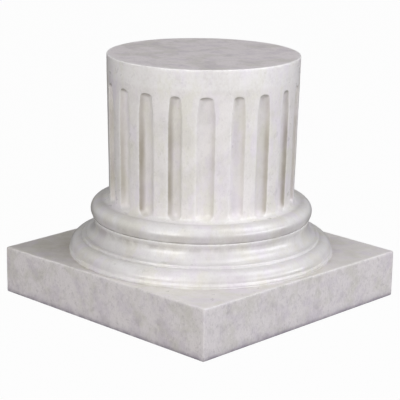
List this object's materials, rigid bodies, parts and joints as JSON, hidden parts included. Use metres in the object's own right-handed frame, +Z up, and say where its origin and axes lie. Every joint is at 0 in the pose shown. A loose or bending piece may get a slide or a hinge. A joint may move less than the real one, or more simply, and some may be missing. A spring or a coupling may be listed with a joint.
{
  "type": "pedestal column",
  "caption": "Low display pedestal in the shape of a column foot: a fluted drum with a flat top on a round moulded base and a square plinth.",
  "frame": {"origin": "middle of the underside of the plinth, on the surface that it stands on", "axes": "+Z up along the axis of the column; X and Y square to the sides of the plinth"},
  "size_m": [0.315, 0.315, 0.28],
  "materials": {
    "pedestal_column": "aged off-white cast stone, satin, with dirt in the recesses"
  },
  "bodies": {
    "root": {"pedestal_column": "pedestal_column"}
  },
  "joints": []
}
